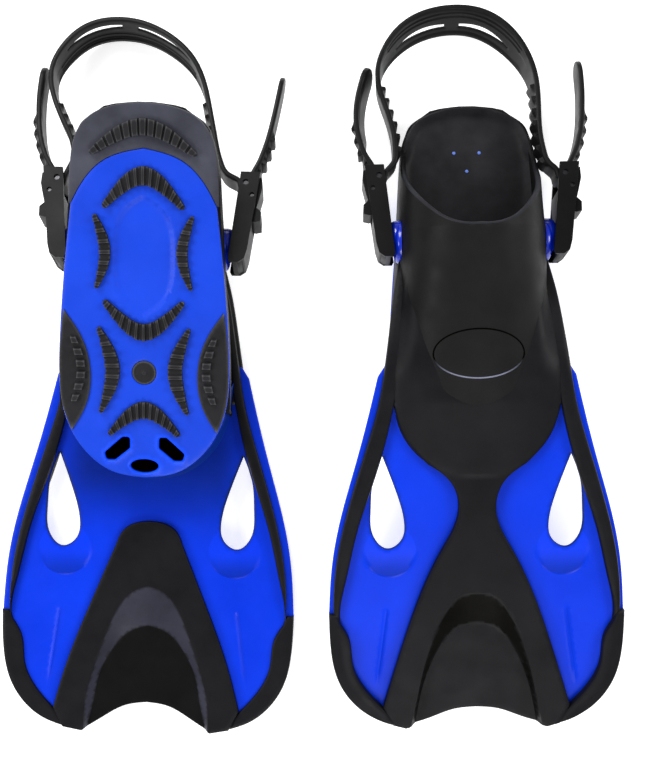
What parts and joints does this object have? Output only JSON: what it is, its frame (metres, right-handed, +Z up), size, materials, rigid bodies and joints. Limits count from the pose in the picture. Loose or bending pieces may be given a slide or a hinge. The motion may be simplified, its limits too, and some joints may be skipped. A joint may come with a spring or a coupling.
{
  "type": "swim fins",
  "caption": "Pair of short open-heel travel swim fins with a flared vented blade, foot pocket, and a toothed heel strap held by side buckles.",
  "frame": {"origin": "centre of the pair at ground level", "axes": "+X across the pair towards the sole-down fin, +Y from the blade tips to the heels, +Z up from the ground"},
  "size_m": [0.4383, 0.515, 0.1114],
  "materials": {
    "blue_blade": "smooth moulded polypropylene",
    "blue_sole": "fine satin moulding",
    "blue_stud": "polished moulding",
    "black_rubber": "satin thermoplastic rubber",
    "blade_rubber": "satin thermoplastic rubber",
    "footbed_rubber": "fine pebbled rubber",
    "tread_rubber": "matt ribbed rubber",
    "strap_rubber": "satin moulded rubber",
    "buckle_plastic": "fine spark-eroded texture",
    "pin_steel": "drawn stainless wire",
    "spring_steel": "stainless spring wire"
  },
  "bodies": {
    "right_fin": {"right_blade": "blue_blade", "right_centre_channel": "blade_rubber", "right_foot_pocket": "black_rubber", "right_footbed": "footbed_rubber", "right_heel_tread": "tread_rubber", "right_rail_inner": "blade_rubber", "right_rail_outer": "blade_rubber", "right_side_grips": "tread_rubber", "right_sole_plate": "blue_sole", "right_sole_plug": "tread_rubber", "right_stud_inner": "blue_stud", "right_stud_outer": "blue_stud", "right_tip_guard_inner": "blade_rubber", "right_tip_guard_outer": "blade_rubber", "right_tread_bars": "tread_rubber"},
    "left_fin": {"left_blade": "blue_blade", "left_centre_channel": "blade_rubber", "left_foot_pocket": "black_rubber", "left_footbed": "footbed_rubber", "left_heel_tread": "tread_rubber", "left_rail_inner": "blade_rubber", "left_rail_outer": "blade_rubber", "left_side_grips": "tread_rubber", "left_sole_plate": "blue_sole", "left_sole_plug": "tread_rubber", "left_stud_inner": "blue_stud", "left_stud_outer": "blue_stud", "left_tip_guard_inner": "blade_rubber", "left_tip_guard_outer": "blade_rubber", "left_tread_bars": "tread_rubber"},
    "right_strap_set": {"right_buckle_housing_inner": "buckle_plastic", "right_buckle_housing_outer": "buckle_plastic", "right_lever_pin_inner": "pin_steel", "right_lever_pin_outer": "pin_steel", "right_lever_spring_inner": "spring_steel", "right_lever_spring_outer": "spring_steel", "right_strap": "strap_rubber", "right_strap_bar_inner": "pin_steel", "right_strap_bar_outer": "pin_steel"},
    "right_lever_outer": {"right_buckle_lever_outer": "buckle_plastic"},
    "right_lever_inner": {"right_buckle_lever_inner": "buckle_plastic"},
    "left_strap_set": {"left_buckle_housing_inner": "buckle_plastic", "left_buckle_housing_outer": "buckle_plastic", "left_lever_pin_inner": "pin_steel", "left_lever_pin_outer": "pin_steel", "left_lever_spring_inner": "spring_steel", "left_lever_spring_outer": "spring_steel", "left_strap": "strap_rubber", "left_strap_bar_inner": "pin_steel", "left_strap_bar_outer": "pin_steel"},
    "left_lever_outer": {"left_buckle_lever_outer": "buckle_plastic"},
    "left_lever_inner": {"left_buckle_lever_inner": "buckle_plastic"}
  },
  "joints": [
    {"name": "left_fin_lift", "type": "slide", "parent": "right_fin", "child": "left_fin", "axis": [0, 0, 1], "range_m": [0, 0.25]},
    {"name": "right_strap_swing", "type": "hinge", "parent": "right_fin", "child": "right_strap_set", "pos_m": [0.11159, 0.09315, 0.038], "axis": [0.9999, 0.0166, 0], "range_deg": [-2, 128.1]},
    {"name": "right_lever_outer_press", "type": "hinge", "parent": "right_strap_set", "child": "right_lever_outer", "pos_m": [0.17955, 0.12596, 0.03348], "axis": [0.0023, -0.1413, -0.99], "range_deg": [0, 12], "stiffness_Nm_per_rad": 0.08, "springref_deg": -11.46},
    {"name": "right_lever_inner_press", "type": "hinge", "parent": "right_strap_set", "child": "right_lever_inner", "pos_m": [0.04257, 0.12369, 0.03348], "axis": [-0.0023, 0.1413, 0.99], "range_deg": [0, 12], "stiffness_Nm_per_rad": 0.08, "springref_deg": -11.46},
    {"name": "left_strap_swing", "type": "hinge", "parent": "left_fin", "child": "left_strap_set", "pos_m": [-0.10899, 0.08642, 0.05537], "axis": [-0.9997, 0.0262, 0], "range_deg": [-23.7, 92.8]},
    {"name": "left_lever_outer_press", "type": "hinge", "parent": "left_strap_set", "child": "left_lever_outer", "pos_m": [-0.17665, 0.1192, 0.04743], "axis": [0.0065, 0.2483, 0.9687], "range_deg": [0, 12], "stiffness_Nm_per_rad": 0.08, "springref_deg": -11.46},
    {"name": "left_lever_inner_press", "type": "hinge", "parent": "left_strap_set", "child": "left_lever_inner", "pos_m": [-0.0397, 0.11562, 0.04743], "axis": [-0.0065, -0.2483, -0.9687], "range_deg": [0, 12], "stiffness_Nm_per_rad": 0.08, "springref_deg": -11.46}
  ]
}
